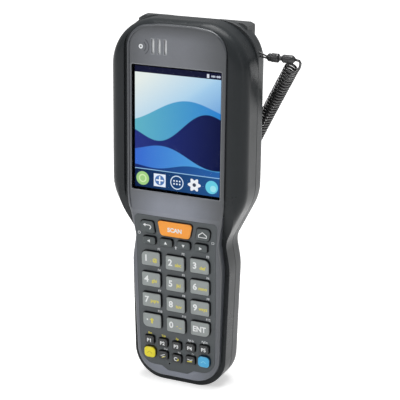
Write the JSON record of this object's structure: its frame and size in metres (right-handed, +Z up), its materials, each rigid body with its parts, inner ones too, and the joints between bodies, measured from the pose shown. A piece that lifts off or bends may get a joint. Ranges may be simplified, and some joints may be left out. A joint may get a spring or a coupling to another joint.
{
  "type": "portable barcode data terminal",
  "caption": "Handheld scanning terminal with a colour display over a keypad grip, hand strap on the back, and a stylus on a curly tether.",
  "frame": {"origin": "middle of the base: half way across and half way through the terminal, strap and stylus included, at the height of the flat lower end", "axes": "+Z up the terminal from the grip to the display, +X to the user's right as the display is read, +Y back from the display to the strap"},
  "size_m": [0.1092, 0.0574, 0.2212],
  "materials": {
    "housing": "soft-touch",
    "rubber": "matte",
    "fascia": "satin",
    "panel": "satin",
    "window": "polished",
    "display": "gloss",
    "light_keys": "matte",
    "slate_keys": "matte",
    "dark_keys": "matte",
    "orange_key": "matte",
    "yellow_key": "matte",
    "blue_key": "matte",
    "clear_light": "gloss",
    "board": "satin",
    "steel": "satin",
    "battery": "satin",
    "gold": "polished",
    "webbing": "woven",
    "stylus": "satin",
    "tether": "satin"
  },
  "bodies": {
    "housing": {"front_housing": "housing", "rear_housing": "housing", "front_fascia": "fascia", "display_window": "window", "lcd_panel": "display", "display_gasket": "rubber", "keypad_panel": "panel", "keypad_mat": "rubber", "keypad_board": "board", "main_board": "board", "housing_seal": "rubber", "scan_engine": "dark_keys", "scan_window": "window", "speaker": "dark_keys", "speaker_mesh": "steel", "status_led": "clear_light", "dock_contacts": "gold", "housing_screws": "steel", "top_pads": "rubber", "hand_strap": "webbing", "strap_bars": "steel", "stylus_sleeve": "webbing", "tether_loop": "tether", "tether_clasp_a": "tether", "tether_clasp_b": "tether", "tether_lead": "tether", "tether_coil": "tether"},
    "key_back": {"key_back": "slate_keys"},
    "key_scan": {"key_scan": "orange_key"},
    "key_home": {"key_home": "slate_keys"},
    "key_left": {"key_left": "slate_keys"},
    "key_up": {"key_up": "slate_keys"},
    "key_down": {"key_down": "slate_keys"},
    "key_right": {"key_right": "slate_keys"},
    "key_1": {"key_1": "light_keys"},
    "key_2": {"key_2": "light_keys"},
    "key_3": {"key_3": "light_keys"},
    "key_4": {"key_4": "light_keys"},
    "key_5": {"key_5": "light_keys"},
    "key_6": {"key_6": "light_keys"},
    "key_7": {"key_7": "light_keys"},
    "key_8": {"key_8": "light_keys"},
    "key_9": {"key_9": "light_keys"},
    "key_shift": {"key_shift": "light_keys"},
    "key_0": {"key_0": "light_keys"},
    "key_enter": {"key_enter": "light_keys"},
    "key_p1": {"key_p1": "dark_keys"},
    "key_p2": {"key_p2": "dark_keys"},
    "key_p3": {"key_p3": "dark_keys"},
    "key_p4": {"key_p4": "dark_keys"},
    "key_p5": {"key_p5": "dark_keys"},
    "key_yellow": {"key_yellow": "yellow_key"},
    "key_fn_a": {"key_fn_a": "dark_keys"},
    "key_fn_b": {"key_fn_b": "dark_keys"},
    "key_fn_c": {"key_fn_c": "dark_keys"},
    "key_blue": {"key_blue": "blue_key"},
    "battery": {"battery_pack": "battery", "battery_door": "housing"},
    "battery_lock": {"battery_lock": "fascia"},
    "stylus": {"stylus": "stylus"}
  },
  "joints": [
    {"name": "key_back_press", "type": "slide", "parent": "housing", "child": "key_back", "axis": [0, 0.9986, 0.0523], "range_m": [0, 0.0008], "stiffness_N_per_m": 1200},
    {"name": "key_scan_press", "type": "slide", "parent": "housing", "child": "key_scan", "axis": [0, 0.9986, 0.0523], "range_m": [0, 0.0008], "stiffness_N_per_m": 1200},
    {"name": "key_home_press", "type": "slide", "parent": "housing", "child": "key_home", "axis": [0, 0.9986, 0.0523], "range_m": [0, 0.0008], "stiffness_N_per_m": 1200},
    {"name": "key_left_press", "type": "slide", "parent": "housing", "child": "key_left", "axis": [0, 0.9986, 0.0523], "range_m": [0, 0.0008], "stiffness_N_per_m": 1200},
    {"name": "key_up_press", "type": "slide", "parent": "housing", "child": "key_up", "axis": [0, 0.9986, 0.0523], "range_m": [0, 0.0008], "stiffness_N_per_m": 1200},
    {"name": "key_down_press", "type": "slide", "parent": "housing", "child": "key_down", "axis": [0, 0.9986, 0.0523], "range_m": [0, 0.0008], "stiffness_N_per_m": 1200},
    {"name": "key_right_press", "type": "slide", "parent": "housing", "child": "key_right", "axis": [0, 0.9986, 0.0523], "range_m": [0, 0.0008], "stiffness_N_per_m": 1200},
    {"name": "key_1_press", "type": "slide", "parent": "housing", "child": "key_1", "axis": [0, 0.9986, 0.0523], "range_m": [0, 0.0008], "stiffness_N_per_m": 1200},
    {"name": "key_2_press", "type": "slide", "parent": "housing", "child": "key_2", "axis": [0, 0.9986, 0.0523], "range_m": [0, 0.0008], "stiffness_N_per_m": 1200},
    {"name": "key_3_press", "type": "slide", "parent": "housing", "child": "key_3", "axis": [0, 0.9986, 0.0523], "range_m": [0, 0.0008], "stiffness_N_per_m": 1200},
    {"name": "key_4_press", "type": "slide", "parent": "housing", "child": "key_4", "axis": [0, 0.9986, 0.0523], "range_m": [0, 0.0008], "stiffness_N_per_m": 1200},
    {"name": "key_5_press", "type": "slide", "parent": "housing", "child": "key_5", "axis": [0, 0.9986, 0.0523], "range_m": [0, 0.0008], "stiffness_N_per_m": 1200},
    {"name": "key_6_press", "type": "slide", "parent": "housing", "child": "key_6", "axis": [0, 0.9986, 0.0523], "range_m": [0, 0.0008], "stiffness_N_per_m": 1200},
    {"name": "key_7_press", "type": "slide", "parent": "housing", "child": "key_7", "axis": [0, 0.9986, 0.0523], "range_m": [0, 0.0008], "stiffness_N_per_m": 1200},
    {"name": "key_8_press", "type": "slide", "parent": "housing", "child": "key_8", "axis": [0, 0.9986, 0.0523], "range_m": [0, 0.0008], "stiffness_N_per_m": 1200},
    {"name": "key_9_press", "type": "slide", "parent": "housing", "child": "key_9", "axis": [0, 0.9986, 0.0523], "range_m": [0, 0.0008], "stiffness_N_per_m": 1200},
    {"name": "key_shift_press", "type": "slide", "parent": "housing", "child": "key_shift", "axis": [0, 0.9986, 0.0523], "range_m": [0, 0.0008], "stiffness_N_per_m": 1200},
    {"name": "key_0_press", "type": "slide", "parent": "housing", "child": "key_0", "axis": [0, 0.9986, 0.0523], "range_m": [0, 0.0008], "stiffness_N_per_m": 1200},
    {"name": "key_enter_press", "type": "slide", "parent": "housing", "child": "key_enter", "axis": [0, 0.9986, 0.0523], "range_m": [0, 0.0008], "stiffness_N_per_m": 1200},
    {"name": "key_p1_press", "type": "slide", "parent": "housing", "child": "key_p1", "axis": [0, 0.9986, 0.0523], "range_m": [0, 0.0008], "stiffness_N_per_m": 1200},
    {"name": "key_p2_press", "type": "slide", "parent": "housing", "child": "key_p2", "axis": [0, 0.9986, 0.0523], "range_m": [0, 0.0008], "stiffness_N_per_m": 1200},
    {"name": "key_p3_press", "type": "slide", "parent": "housing", "child": "key_p3", "axis": [0, 0.9986, 0.0523], "range_m": [0, 0.0008], "stiffness_N_per_m": 1200},
    {"name": "key_p4_press", "type": "slide", "parent": "housing", "child": "key_p4", "axis": [0, 0.9986, 0.0523], "range_m": [0, 0.0008], "stiffness_N_per_m": 1200},
    {"name": "key_p5_press", "type": "slide", "parent": "housing", "child": "key_p5", "axis": [0, 0.9986, 0.0523], "range_m": [0, 0.0008], "stiffness_N_per_m": 1200},
    {"name": "key_yellow_press", "type": "slide", "parent": "housing", "child": "key_yellow", "axis": [0, 0.9986, 0.0523], "range_m": [0, 0.0008], "stiffness_N_per_m": 1200},
    {"name": "key_fn_a_press", "type": "slide", "parent": "housing", "child": "key_fn_a", "axis": [0, 0.9986, 0.0523], "range_m": [0, 0.0008], "stiffness_N_per_m": 1200},
    {"name": "key_fn_b_press", "type": "slide", "parent": "housing", "child": "key_fn_b", "axis": [0, 0.9986, 0.0523], "range_m": [0, 0.0008], "stiffness_N_per_m": 1200},
    {"name": "key_fn_c_press", "type": "slide", "parent": "housing", "child": "key_fn_c", "axis": [0, 0.9986, 0.0523], "range_m": [0, 0.0008], "stiffness_N_per_m": 1200},
    {"name": "key_blue_press", "type": "slide", "parent": "housing", "child": "key_blue", "axis": [0, 0.9986, 0.0523], "range_m": [0, 0.0008], "stiffness_N_per_m": 1200},
    {"name": "stylus_slide", "type": "slide", "parent": "housing", "child": "stylus", "axis": [0, 0, 1], "range_m": [0, 0.068], "deforming": ["tether_coil"]},
    {"name": "battery_slide", "type": "slide", "parent": "housing", "child": "battery", "axis": [0, 1, 0], "range_m": [0, 0.005]},
    {"name": "battery_lock_slide", "type": "slide", "parent": "battery", "child": "battery_lock", "axis": [0, 0, -1], "range_m": [-0.003, 0]}
  ]
}
